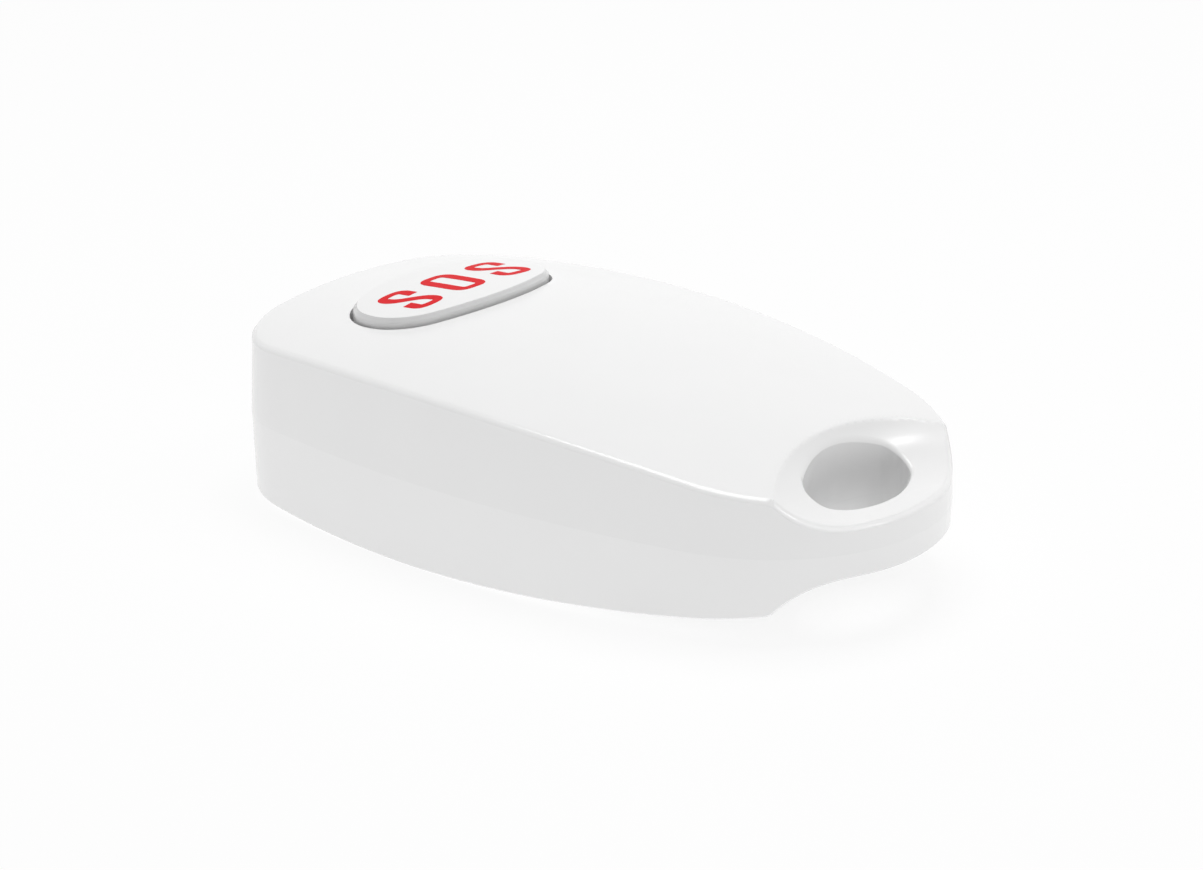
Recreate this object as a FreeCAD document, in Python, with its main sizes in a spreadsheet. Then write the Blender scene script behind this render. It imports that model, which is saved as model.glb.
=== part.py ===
import FreeCAD
import Part
import math
import os
import Sketcher

# Wireless panic button: a key-ring fob whose oval key works one tactile switch.
# Millimetres. X runs across the fob, Y along it with the strap hole at the -Y end, Z up.
# The origin is under the middle of the outline, at the lowest point of the belly. Every sketch
# is drawn about the parting plane of the two shells, and each piece is lifted by belly_depth.

V = FreeCAD.Vector
doc = FreeCAD.newDocument("panic_button")
sheet = doc.addObject("Spreadsheet::Sheet", "Sizes")

CASE = [
    ("case_length", 60.0),
    ("case_width", 34.0),
    ("tip_radius", 14.3),
    ("side_radius", 105.0),
    ("rear_radius", 110.0),
    ("corner_radius", 8.5),
    ("wall_draft", 2.0),
    ("side_wall", 1.6),
    ("roof_wall", 1.2),
    ("floor_wall", 1.5),
    ("crown_height", 9.24),
    ("crown_ahead", 7.5),
    ("crown_length_radius", 138.0),
    ("crown_cross_radius", 72.0),
    ("belly_depth", 7.28),
    ("belly_ahead", 9.0),
    ("belly_radius", 222.0),
    ("top_edge_break", 0.4),
    ("under_edge_break", 0.15),
]
STRAP_END = [
    ("lug_half", 2.04),
    ("scoop_axis_beyond", 15.6),
    ("scoop_foot_radius", 17.7),
    ("scoop_round", 7.8),
    ("scoop_rim_round", 1.2),
    ("strap_hole_width", 11.2),
    ("strap_hole_depth", 5.46),
    ("strap_hole_end_radius", 1.71),
    ("strap_hole_from_end", 5.63),
    ("strap_hole_break", 0.3),
    ("front_wall", 1.0),
    ("cavity_corner_radius", 3.0),
]
JOINT_LINE = [
    ("tongue_width", 0.5),
    ("tongue_length", 8.0),
    ("tongue_height", 1.2),
    ("tongue_gap", 0.1),
]
KEY = [
    ("key_from_rear", 12.8),
    ("key_width", 19.1),
    ("key_depth", 11.1),
    ("key_end_radius", 4.6),
    ("key_gap", 0.3),
    ("key_rise", 0.75),
    ("key_edge_break", 0.3),
    ("key_top_wall", 2.4),
    ("key_hollow_width", 13.0),
    ("key_hollow_length", 7.2),
    ("key_tab_reach", 0.8),
    ("key_tab_length", 5.0),
    ("key_tab_height", 0.9),
    ("key_stem_radius", 2.0),
    ("key_rest_gap", 0.05),
    ("collar_wall", 0.8),
    ("collar_bottom", 5.3),
]
BOARD = [
    ("board_drop", 0.4),
    ("board_thickness", 1.0),
    ("board_side_gap", 3.8),
    ("board_nose_from_end", 11.4),
    ("board_nose_side_gap", 8.0),
    ("board_shoulder_from_end", 17.0),
    ("board_hip_from_rear", 9.0),
    ("board_tail_from_rear", 2.4),
    ("board_tail_side_gap", 8.5),
    ("solder_gap", 0.02),
]
SCREWS = [
    ("rear_screw_from_rear", 4.1),
    ("front_screw_from_end", 13.3),
    ("upper_boss_radius", 2.2),
    ("lower_boss_radius", 3.0),
    ("boss_clearance", 0.05),
    ("notch_clearance", 0.3),
    ("screw_radius", 1.0),
    ("screw_head_radius", 1.9),
    ("screw_head_height", 1.3),
    ("screw_seat_depth", 4.0),
    ("screw_reach", 4.0),
    ("screw_clearance", 0.1),
    ("pilot_clearance", 0.05),
    ("pilot_spare", 0.6),
    ("drive_radius", 0.9),
    ("drive_slot", 0.5),
    ("drive_depth", 0.7),
]
SWITCH = [
    ("switch_width", 6.0),
    ("switch_base_height", 3.1),
    ("switch_well_radius", 2.3),
    ("switch_well_floor", 1.1),
    ("switch_cover_thickness", 0.3),
    ("switch_cover_fold", 1.2),
    ("switch_total_height", 5.0),
    ("plunger_radius", 1.7),
    ("plunger_flange_radius", 2.1),
    ("plunger_gap", 0.08),
    ("plunger_side_gap", 0.2),
    ("dome_radius", 2.1),
    ("dome_crown_radius", 0.9),
    ("dome_height", 0.55),
    ("dome_thickness", 0.1),
    ("leg_spacing", 4.5),
    ("leg_width", 0.7),
    ("leg_thickness", 0.2),
    ("leg_reach", 1.2),
    ("leg_height", 0.8),
]
BATTERY = [
    ("cell_radius", 10.0),
    ("cell_height", 3.2),
    ("cell_ahead", 9.0),
    ("cell_step", 0.9),
    ("cell_step_height", 0.4),
    ("contact_gap", 0.35),
    ("clip_thickness", 0.25),
    ("clip_width", 6.0),
    ("clip_gap", 0.3),
    ("clip_foot", 1.6),
    ("leaf_thickness", 0.15),
    ("leaf_width", 3.0),
    ("leaf_length", 9.0),
    ("leaf_foot", 1.5),
    ("cell_stop_gap", 0.8),
    ("cell_stop_wall", 0.9),
    ("cell_stop_width", 12.0),
    ("cell_stop_height", 1.6),
]
PARTS_ON_BOARD = [
    ("radio_from_edge", 6.7),
    ("radio_ahead", 1.0),
    ("radio_width", 5.0),
    ("radio_height", 0.9),
    ("control_from_edge", 6.7),
    ("control_ahead", 2.0),
    ("control_width", 3.9),
    ("control_length", 4.9),
    ("control_height", 1.5),
    ("control_stand", 0.15),
    ("control_leg_pitch", 1.27),
    ("control_leg_width", 0.42),
    ("control_leg_reach", 1.05),
    ("control_leg_thickness", 0.2),
    ("control_leg_height", 0.9),
    ("crystal_side", 0.0),
    ("crystal_ahead", 0.5),
    ("crystal_width", 3.2),
    ("crystal_length", 5.0),
    ("crystal_height", 1.3),
    ("crystal_base_height", 0.5),
    ("crystal_rim", 0.3),
    ("antenna_from_edge", 4.2),
    ("antenna_from_end", 16.6),
    ("antenna_length", 5.6),
    ("antenna_thickness", 0.4),
    ("antenna_strip", 1.5),
    ("antenna_stand", 1.0),
    ("antenna_leg", 1.2),
    ("lamp_side", -6.4),
    ("lamp_length", 2.0),
    ("lamp_width", 1.25),
    ("lamp_base_height", 0.4),
    ("lamp_lens_height", 0.5),
    ("lamp_lens_step", 0.3),
    ("chip_width", 1.25),
    ("chip_length", 2.0),
    ("chip_pitch", 3.0),
    ("chip_from_edge", 1.8),
    ("chip_back", 3.0),
    ("capacitor_height", 0.9),
    ("resistor_height", 0.5),
    ("coil_side", 3.0),
    ("coil_back", 7.0),
    ("coil_height", 1.1),
]


def fill_sheet():
    row = 1
    for group in (CASE, STRAP_END, JOINT_LINE, KEY, BOARD, SCREWS, SWITCH, BATTERY, PARTS_ON_BOARD):
        for alias, number in group:
            sheet.set("A%d" % row, alias)
            sheet.set("B%d" % row, str(number))
            sheet.setAlias("B%d" % row, alias)
            row += 1
    doc.recompute()


fill_sheet()


def size(alias):
    return float(sheet.get(alias))


def cell(alias):
    return "Sizes." + alias


LIFT = cell("belly_depth")
FRONT_END = "(-Sizes.case_length / 2)"
REAR_END = "(Sizes.case_length / 2)"
SCOOP_AXIS = "(%s - Sizes.scoop_axis_beyond)" % FRONT_END
HOLE_AHEAD = "(%s + Sizes.strap_hole_from_end)" % FRONT_END
KEY_AHEAD = "(%s - Sizes.key_from_rear)" % REAR_END
BOARD_SIDE = "(Sizes.case_width / 2 - Sizes.board_side_gap)"
BOARD_BOTTOM = "(-Sizes.board_drop - Sizes.board_thickness)"
ON_BOARD = "(Sizes.solder_gap - Sizes.board_drop)"
UNDER_BOARD = "(%s - Sizes.solder_gap)" % BOARD_BOTTOM
CELL_TOP = "(%s - Sizes.contact_gap)" % BOARD_BOTTOM
CELL_FOOT = "(%s - Sizes.cell_height)" % CELL_TOP
SWITCH_FOOT = ON_BOARD
COVER_FOOT = "(%s + Sizes.switch_base_height + Sizes.solder_gap)" % SWITCH_FOOT
PLUNGER_TOP = "(%s + Sizes.switch_total_height)" % SWITCH_FOOT
KEY_FOOT = "(Sizes.collar_bottom - Sizes.key_rest_gap - Sizes.key_tab_height)"
KEY_HOLLOW = "(Sizes.crown_height + Sizes.key_rise - Sizes.key_top_wall)"
SIDE_CENTRE = (
    "(Sizes.tip_radius - Sizes.case_length / 2"
    " + sqrt((Sizes.side_radius - Sizes.tip_radius)^2 - (Sizes.side_radius - Sizes.case_width / 2)^2))"
)
FRONT_RADIUS = "(Sizes.scoop_foot_radius + Sizes.scoop_round + Sizes.front_wall)"


# Documents, bodies and sketches


def new_body(label):
    body = doc.addObject("PartDesign::Body", label)
    body.Label = label
    return body


def lifted(piece):
    piece.setExpression("Placement.Base.z", LIFT)
    return piece


def origin_plane(body, role):
    return [item for item in body.Origin.OriginFeatures if item.Role == role][0]


def new_sketch(body, name, role="XY_Plane", offset=None):
    sketch = body.newObject("Sketcher::SketchObject", name)
    sketch.AttachmentSupport = [(origin_plane(body, role), "")]
    sketch.MapMode = "FlatFace"
    if offset:
        sketch.setExpression("AttachmentOffset.Base.z", offset)
    doc.recompute()
    return sketch


def number(expression):
    # the value of a sheet expression, so that a sketch starts near its solved shape
    return float(sheet.evalExpression(expression.replace("Sizes.", "")))


def hold(sketch, kind, where, expression):
    index = sketch.addConstraint(Sketcher.Constraint(kind, *where, number(expression)))
    sketch.setExpression("Constraints[%d]" % index, expression)


def pin(sketch, curve, point, across, along):
    hold(sketch, "DistanceX", (-1, 1, curve, point), across)
    hold(sketch, "DistanceY", (-1, 1, curve, point), along)


def arc_about(centre, radius, start, finish):
    # counter-clockwise from start to finish
    first = math.atan2(start[1] - centre[1], start[0] - centre[0])
    last = math.atan2(finish[1] - centre[1], finish[0] - centre[0])
    if last < first:
        last += 2 * math.pi
    return Part.ArcOfCircle(Part.Circle(V(centre[0], centre[1], 0), V(0, 0, 1), radius), first, last)


def arc_between(start, finish, radius):
    # counter-clockwise from start to finish, less than half a turn
    run = (finish[0] - start[0], finish[1] - start[1])
    span = math.hypot(*run)
    rise = math.sqrt(max(radius**2 - span**2 / 4, 0))
    middle = ((start[0] + finish[0]) / 2, (start[1] + finish[1]) / 2)
    centre = (middle[0] - run[1] / span * rise, middle[1] + run[0] / span * rise)
    return arc_about(centre, radius, start, finish)


def profile(sketch, corners, bows={}):
    # a closed line through the corners. bows gives an edge's radius, and 1 where the edge
    # bulges to the right of the way that it runs or -1 where it bulges to the left.
    places = [(number(across), number(along)) for across, along in corners]
    first = sketch.GeometryCount
    count = len(places)
    ends = []
    for i in range(count):
        start, finish = places[i], places[(i + 1) % count]
        radius, bulge = bows.get(i, (None, 1))
        if radius is None:
            sketch.addGeometry(Part.LineSegment(V(*start, 0), V(*finish, 0)), False)
        elif bulge > 0:
            sketch.addGeometry(arc_between(start, finish, number(radius)), False)
        else:
            sketch.addGeometry(arc_between(finish, start, number(radius)), False)
        ends.append((1, 2) if bulge > 0 else (2, 1))
    for i in range(count):
        after = (i + 1) % count
        sketch.addConstraint(
            Sketcher.Constraint("Coincident", first + i, ends[i][1], first + after, ends[after][0])
        )
        pin(sketch, first + i, ends[i][0], *corners[i])
        if i in bows:
            hold(sketch, "Radius", (first + i,), bows[i][0])
    return sketch


def both_sides(half):
    # a closed line made of the right half and its mirror image
    return half + [("-(%s)" % across, level) for across, level in reversed(half)]


def rectangle(sketch, across, along, width, length):
    left, right = "%s - (%s) / 2" % (across, width), "%s + (%s) / 2" % (across, width)
    near, far = "%s - (%s) / 2" % (along, length), "%s + (%s) / 2" % (along, length)
    return profile(sketch, [(left, near), (right, near), (right, far), (left, far)])


def circle(sketch, across, along, radius):
    index = sketch.addGeometry(
        Part.Circle(V(number(across), number(along), 0), V(0, 0, 1), number(radius)), False
    )
    pin(sketch, index, 3, across, along)
    hold(sketch, "Radius", (index,), radius)
    return sketch


def oval(sketch, alias, ahead, grow="0"):
    # four tangent arcs: a wide oval across the fob, drawn out by grow all round. alias names
    # the sizes of the oval: its width, depth and end radius.
    width, depth, end = ["Sizes.%s_%s" % (alias, word) for word in ("width", "depth", "end_radius")]
    reach = "(%s / 2 - %s)" % (width, end)
    side = "((%s^2 + (%s / 2)^2 - %s^2) / (%s - 2 * %s))" % (reach, depth, end, depth, end)
    middle, end_radius = number(ahead), number(end) + number(grow)
    side_radius = number(side) + number(grow)
    right, left = (number(reach), middle), (-number(reach), middle)
    sink = number(side) - number(depth) / 2
    above, below = (0, middle + sink), (0, middle - sink)
    upper_right = on_line(below, side_radius, right)
    lower_right = on_line(above, side_radius, right)
    first = join_arcs(sketch, [
        arc_about(right, end_radius, lower_right, upper_right),
        arc_about(below, side_radius, upper_right, mirrored(upper_right)),
        arc_about(left, end_radius, mirrored(upper_right), mirrored(lower_right)),
        arc_about(above, side_radius, mirrored(lower_right), lower_right),
    ])
    hold(sketch, "Radius", (first,), "%s + %s" % (end, grow))
    hold(sketch, "Radius", (first + 1,), "%s + %s" % (side, grow))
    sketch.addConstraint(Sketcher.Constraint("Equal", first, first + 2))
    sketch.addConstraint(Sketcher.Constraint("Equal", first + 1, first + 3))
    pin(sketch, first, 3, reach, ahead)
    pin(sketch, first + 2, 3, "-" + reach, ahead)
    return sketch


def axis_line(sketch, start, finish):
    # a construction line for a turned feature; returns its name
    places = [V(number(start[0]), number(start[1]), 0), V(number(finish[0]), number(finish[1]), 0)]
    index = sketch.addGeometry(Part.LineSegment(*places), True)
    pin(sketch, index, 1, *start)
    pin(sketch, index, 2, *finish)
    return "Axis%d" % (len([one for one in range(index) if sketch.getConstruction(one)]))


# The outline of the case: six tangent arcs, and eight round the cavity inside it


def meeting_point(centre_a, radius_a, centre_b, radius_b):
    # where two circles cross, on the side of greater X
    dx, dy = centre_b[0] - centre_a[0], centre_b[1] - centre_a[1]
    span = math.hypot(dx, dy)
    reach = (radius_a**2 - radius_b**2 + span**2) / (2 * span)
    height = math.sqrt(radius_a**2 - reach**2)
    foot = (centre_a[0] + reach * dx / span, centre_a[1] + reach * dy / span)
    crossings = [
        (foot[0] + way * height * dy / span, foot[1] - way * height * dx / span) for way in (1, -1)
    ]
    return max(crossings)


def on_line(centre, radius, target):
    span = math.hypot(target[0] - centre[0], target[1] - centre[1])
    return (
        centre[0] + radius * (target[0] - centre[0]) / span,
        centre[1] + radius * (target[1] - centre[1]) / span,
    )


def mirrored(point):
    return (-point[0], point[1])


def outline_centres():
    tip = (0, size("tip_radius") - size("case_length") / 2)
    side = (size("case_width") / 2 - size("side_radius"), number(SIDE_CENTRE))
    rear = (0, size("case_length") / 2 - size("rear_radius"))
    corner = meeting_point(
        side, size("side_radius") - size("corner_radius"),
        rear, size("rear_radius") - size("corner_radius"),
    )
    return tip, side, corner, rear


def join_arcs(sketch, curves, backward=()):
    # adds a ring of arcs, each tangent to the next; backward names those drawn the other way
    first = sketch.GeometryCount
    for curve in curves:
        sketch.addGeometry(curve, False)
    count = len(curves)
    for i in range(count):
        after = (i + 1) % count
        leaving = 1 if i in backward else 2
        arriving = 2 if after in backward else 1
        sketch.addConstraint(
            Sketcher.Constraint("Tangent", first + i, leaving, first + after, arriving)
        )
    return first


def outline(sketch, inset="0"):
    tip, side, corner, rear = outline_centres()
    less = number(inset)
    side_radius, rear_radius = size("side_radius") - less, size("rear_radius") - less
    tip_radius, corner_radius = size("tip_radius") - less, size("corner_radius") - less
    tip_end = on_line(tip, -tip_radius, side)
    side_end = on_line(side, side_radius, corner)
    rear_end = on_line(rear, rear_radius, corner)
    first = join_arcs(sketch, [
        arc_about(tip, tip_radius, mirrored(tip_end), tip_end),
        arc_about(side, side_radius, tip_end, side_end),
        arc_about(corner, corner_radius, side_end, rear_end),
        arc_about(rear, rear_radius, rear_end, mirrored(rear_end)),
        arc_about(mirrored(corner), corner_radius, mirrored(rear_end), mirrored(side_end)),
        arc_about(mirrored(side), side_radius, mirrored(side_end), mirrored(tip_end)),
    ])
    for index, alias in enumerate(("tip_radius", "side_radius", "corner_radius", "rear_radius")):
        hold(sketch, "Radius", (first + index,), "%s - %s" % (cell(alias), inset))
    sketch.addConstraint(Sketcher.Constraint("Equal", first + 1, first + 5))
    sketch.addConstraint(Sketcher.Constraint("Equal", first + 2, first + 4))
    pin(sketch, first, 3, "0", "Sizes.tip_radius - Sizes.case_length / 2")
    pin(sketch, first + 3, 3, "0", "Sizes.case_length / 2 - Sizes.rear_radius")
    hold(sketch, "DistanceX", (-1, 1, first + 1, 3), "Sizes.case_width / 2 - Sizes.side_radius")
    hold(sketch, "DistanceX", (-1, 1, first + 5, 3), "Sizes.side_radius - Sizes.case_width / 2")
    return sketch


def cavity_line(sketch):
    # the outline drawn in by the wall, closed behind the strap hole by one that follows the scoop
    tip, side, corner, rear = outline_centres()
    less = size("side_wall")
    front = (0, number(SCOOP_AXIS))
    front_radius = number(FRONT_RADIUS)
    bend_radius = size("cavity_corner_radius")
    side_radius, rear_radius = size("side_radius") - less, size("rear_radius") - less
    corner_radius = size("corner_radius") - less
    bend = meeting_point(side, side_radius - bend_radius, front, front_radius + bend_radius)
    front_end = on_line(front, front_radius, bend)
    side_start = on_line(side, side_radius, bend)
    side_end = on_line(side, side_radius, corner)
    rear_end = on_line(rear, rear_radius, corner)
    first = join_arcs(sketch, [
        arc_about(front, front_radius, front_end, mirrored(front_end)),
        arc_about(bend, bend_radius, front_end, side_start),
        arc_about(side, side_radius, side_start, side_end),
        arc_about(corner, corner_radius, side_end, rear_end),
        arc_about(rear, rear_radius, rear_end, mirrored(rear_end)),
        arc_about(mirrored(corner), corner_radius, mirrored(rear_end), mirrored(side_end)),
        arc_about(mirrored(side), side_radius, mirrored(side_end), mirrored(side_start)),
        arc_about(mirrored(bend), bend_radius, mirrored(side_start), mirrored(front_end)),
    ], backward=(0,))
    hold(sketch, "Radius", (first,), FRONT_RADIUS)
    hold(sketch, "Radius", (first + 1,), "Sizes.cavity_corner_radius")
    hold(sketch, "Radius", (first + 2,), "Sizes.side_radius - Sizes.side_wall")
    hold(sketch, "Radius", (first + 3,), "Sizes.corner_radius - Sizes.side_wall")
    hold(sketch, "Radius", (first + 4,), "Sizes.rear_radius - Sizes.side_wall")
    for right, left in ((1, 7), (2, 6), (3, 5)):
        sketch.addConstraint(Sketcher.Constraint("Equal", first + right, first + left))
    pin(sketch, first, 3, "0", SCOOP_AXIS)
    pin(sketch, first + 4, 3, "0", "Sizes.case_length / 2 - Sizes.rear_radius")
    pin(sketch, first + 2, 3, "Sizes.case_width / 2 - Sizes.side_radius", SIDE_CENTRE)
    pin(sketch, first + 6, 3, "Sizes.side_radius - Sizes.case_width / 2", SIDE_CENTRE)
    return sketch


# Features


def feature(body, kind, name):
    return body.newObject("PartDesign::" + kind, name)


def pad(body, name, sketch, length, down=False, middle=False):
    made = feature(body, "Pad", name)
    made.Profile = sketch
    made.setExpression("Length", length)
    made.Reversed = down
    made.Midplane = middle
    return made


def pocket(body, name, sketch, length=None, up=False, middle=False):
    made = feature(body, "Pocket", name)
    made.Profile = sketch
    if length is None:
        made.Type = "ThroughAll"
    else:
        made.setExpression("Length", length)
    made.Reversed = up
    made.Midplane = middle
    return made


def turned(body, kind, name, sketch, axis):
    made = feature(body, kind, name)
    made.Profile = sketch
    made.ReferenceAxis = (sketch, [axis])
    made.Angle = 360
    return made


def upright_faces(shape):
    names = []
    for index, face in enumerate(shape.Faces):
        u0, u1, v0, v1 = face.ParameterRange
        if abs(face.normalAt((u0 + u1) / 2, (v0 + v1) / 2).z) < 0.001:
            names.append("Face%d" % (index + 1))
    return names


def draft_walls(body, name, base, way_up):
    doc.recompute()
    made = feature(body, "Draft", name)
    made.Base = (base, upright_faces(base.Shape))
    made.NeutralPlane = (origin_plane(body, "XY_Plane"), [""])
    made.setExpression("Angle", "Sizes.wall_draft")
    made.Reversed = not way_up
    return made


def kind_of(face):
    # the kind of surface, with the belly's arc told from upright round walls
    kind = type(face.Surface).__name__
    if kind == "Cylinder" and abs(face.Surface.Axis.x) > abs(face.Surface.Axis.z):
        return "Belly"
    return kind


def edges_where(shape, wanted):
    # wanted is asked about an edge and the kinds of surface that meet there
    names = []
    for index, edge in enumerate(shape.Edges):
        meeting = [face for face in shape.Faces if any(edge.isSame(other) for other in face.Edges)]
        if wanted(edge, sorted(kind_of(face) for face in meeting)):
            names.append("Edge%d" % (index + 1))
    return names


def dress(body, kind, name, base, wanted, measure):
    # a fillet or a chamfer on the edges that wanted picks out
    doc.recompute()
    made = feature(body, kind, name)
    made.Base = (base, edges_where(base.Shape, wanted))
    made.setExpression("Radius" if kind == "Fillet" else "Size", measure)
    return made


# The crown: a surface curved along and across the fob, cut by a loft of three arcs


def crown_section(body, name, along, lift):
    height = (
        "(Sizes.crown_height + %s - Sizes.crown_length_radius"
        " + sqrt(Sizes.crown_length_radius^2 - (%s - Sizes.crown_ahead)^2))" % (lift, along)
    )
    side = "(Sizes.case_width / 2 + Sizes.side_wall)"
    drop = "(Sizes.crown_cross_radius - sqrt(Sizes.crown_cross_radius^2 - %s^2))" % side
    rim = "%s - %s" % (height, drop)
    top = "(2 * Sizes.crown_height)"
    sketch = new_sketch(body, name, "XZ_Plane", "-(%s)" % along)
    corners = [(side, rim), (side, top), ("-" + side, top), ("-" + side, rim)]
    return profile(sketch, corners, {3: ("Sizes.crown_cross_radius", -1)})


def cut_crown(body, lift):
    # lift is how far above the case's own crown the cut lies
    places = (
        "(-Sizes.case_length / 2 - Sizes.side_wall)",
        "Sizes.crown_ahead",
        "(Sizes.case_length / 2 + Sizes.side_wall)",
    )
    sections = [
        crown_section(body, "crown_section_%d" % index, along, lift)
        for index, along in enumerate(places)
    ]
    made = feature(body, "SubtractiveLoft", "crown")
    made.Profile = sections[0]
    made.Sections = sections[1:]
    return made


def arched_cut(body, name, way, height, ahead, radius):
    # takes away what lies beyond an arc along the fob, straight across it. way is "" above the
    # parting plane and "-" below it; height is the arc's greatest distance from that plane.
    tail = "(-Sizes.case_length / 2 - Sizes.side_wall)"
    rear = "(Sizes.case_length / 2 + Sizes.side_wall)"
    clear = "%s(3 * Sizes.crown_height)" % way
    reach = "%s(%s - %s + sqrt((%s)^2 - (%s - %s)^2))"
    tail_end, rear_end = [
        reach % (way, height, radius, radius, along, ahead) for along in (tail, rear)
    ]
    sketch = new_sketch(body, name + "_line", "YZ_Plane")
    corners = [(tail, tail_end), (rear, rear_end), (rear, clear), (tail, clear)]
    profile(sketch, corners, {0: (radius, 1 if way else -1)})
    return pocket(body, name, sketch, middle=True)


# The strap end: scooped above and below down to a thin lug with an oval hole


def cut_scoop(body, way):
    # a flat lug, then a hollow quarter round turned about an upright line ahead of the strap
    # end. way is "" above the parting plane and "-" below it.
    tip = "-Sizes.case_length / 2 - Sizes.lug_half"
    foot = "%s + Sizes.scoop_foot_radius" % SCOOP_AXIS
    wall = "%s + Sizes.scoop_round" % foot
    lug = "%sSizes.lug_half" % way
    shoulder = "%s(Sizes.lug_half + Sizes.scoop_round)" % way
    clear = "%s(2 * Sizes.crown_height)" % way
    sketch = new_sketch(body, "scoop_section", "YZ_Plane")
    corners = [(tip, lug), (foot, lug), (wall, shoulder), (wall, clear), (tip, clear)]
    profile(sketch, corners, {1: ("Sizes.scoop_round", -1 if way else 1)})
    return turned(body, "Groove", "scoop", sketch, axis_line(sketch, (SCOOP_AXIS, "0"), (SCOOP_AXIS, clear)))


def cut_strap_hole(body):
    sketch = new_sketch(body, "strap_hole_line")
    oval(sketch, "strap_hole", HOLE_AHEAD)
    return pocket(body, "strap_hole", sketch, middle=True)


def off_parting_plane(edge):
    return abs(edge.CenterOfMass.z) > size("lug_half") / 2


def scoop_rim(edge, kinds):
    return kinds in (["BSplineSurface", "Toroid"], ["Belly", "Toroid"])


def break_strap_edges(body, base, edge_break):
    # the outer edge and the hole's mouth lose their corners
    def outer_edge(edge, kinds):
        return "Cone" in kinds and len(set(kinds)) == 2 and off_parting_plane(edge)

    def hole_mouth(edge, kinds):
        return "Cylinder" in kinds and len(set(kinds)) == 2 and off_parting_plane(edge)

    outer = dress(body, "Chamfer", "outer_edge", base, outer_edge, edge_break)
    hole = cut_strap_hole(body)
    dress(body, "Chamfer", "strap_hole_mouth", hole, hole_mouth, "Sizes.strap_hole_break")


# The two shells, each an outer form less the core that leaves its walls, bosses and ribs

SCREW_PLACES = (
    ("0", "%s - Sizes.rear_screw_from_rear" % REAR_END),
    ("0", "%s + Sizes.front_screw_from_end" % FRONT_END),
)


def at_screws(sketch, radius):
    for across, along in SCREW_PLACES:
        circle(sketch, across, along, radius)
    return sketch


def take_core(body, core):
    made = feature(body, "Boolean", "cavity")
    made.Type = "Cut"
    made.Group = [core]
    body.Tip = made
    doc.recompute()
    return made


def tongue_lines(sketch, grow):
    # one straight tongue in the middle of each side wall and of the rear wall
    inset = "(Sizes.side_wall / 2)"
    width = "(Sizes.tongue_width + 2 * %s)" % grow
    length = "(Sizes.tongue_length + 2 * %s)" % grow
    for side in ("Sizes.case_width / 2 - %s", "%s - Sizes.case_width / 2"):
        rectangle(sketch, side % inset, SIDE_CENTRE, width, length)
    rectangle(sketch, "0", "Sizes.case_length / 2 - %s" % inset, length, width)
    return sketch


def upper_core():
    # the space under the crown, into which the bosses and the key's collar stand down
    body = new_body("upper_core")
    block = pad(body, "core_block", cavity_line(new_sketch(body, "core_line")),
                "2 * Sizes.crown_height")
    draft_walls(body, "core_draft", block, True)
    inside = "(Sizes.case_width / 2 - Sizes.side_wall)"
    sag = "(Sizes.crown_cross_radius - sqrt(Sizes.crown_cross_radius^2 - %s^2))" % inside
    arched_cut(body, "roof", "", "Sizes.crown_height - Sizes.roof_wall - %s" % sag,
               "Sizes.crown_ahead", "(Sizes.crown_length_radius - Sizes.roof_wall - %s)" % sag)
    bosses = at_screws(new_sketch(body, "boss_line"), "Sizes.upper_boss_radius")
    pocket(body, "boss_gaps", bosses, up=True)
    collar = new_sketch(body, "collar_line", offset="Sizes.collar_bottom")
    oval(collar, "key", KEY_AHEAD, "(Sizes.key_gap + Sizes.collar_wall)")
    oval(collar, "key", KEY_AHEAD, "Sizes.key_gap")
    pocket(body, "collar_gap", collar, up=True)
    doc.recompute()
    return body


def upper_shell():
    body = new_body("upper_shell")
    block = pad(body, "case_block", outline(new_sketch(body, "case_outline")),
                "2 * Sizes.crown_height")
    draft_walls(body, "case_draft", block, True)
    cut_crown(body, "0")
    rim = dress(body, "Fillet", "scoop_rim", cut_scoop(body, ""), scoop_rim,
                "Sizes.scoop_rim_round")
    break_strap_edges(body, rim, "Sizes.top_edge_break")
    take_core(body, upper_core())
    feet = at_screws(new_sketch(body, "boss_foot_line"), "Sizes.upper_boss_radius")
    pad(body, "boss_feet", feet, "Sizes.board_drop - Sizes.boss_clearance", down=True)
    opening = oval(new_sketch(body, "key_opening_line"), "key", KEY_AHEAD, "Sizes.key_gap")
    pocket(body, "key_opening", opening, up=True)
    pilots = new_sketch(body, "pilot_line", offset=BOARD_BOTTOM)
    at_screws(pilots, "Sizes.screw_radius + Sizes.pilot_clearance")
    pocket(body, "pilot_holes", pilots,
           "Sizes.screw_reach + Sizes.pilot_spare - %s" % BOARD_BOTTOM, up=True)
    slots = tongue_lines(new_sketch(body, "tongue_slot_line"), "Sizes.tongue_gap")
    pocket(body, "tongue_slots", slots, "Sizes.tongue_height + Sizes.tongue_gap", up=True)
    return lifted(body)


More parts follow.
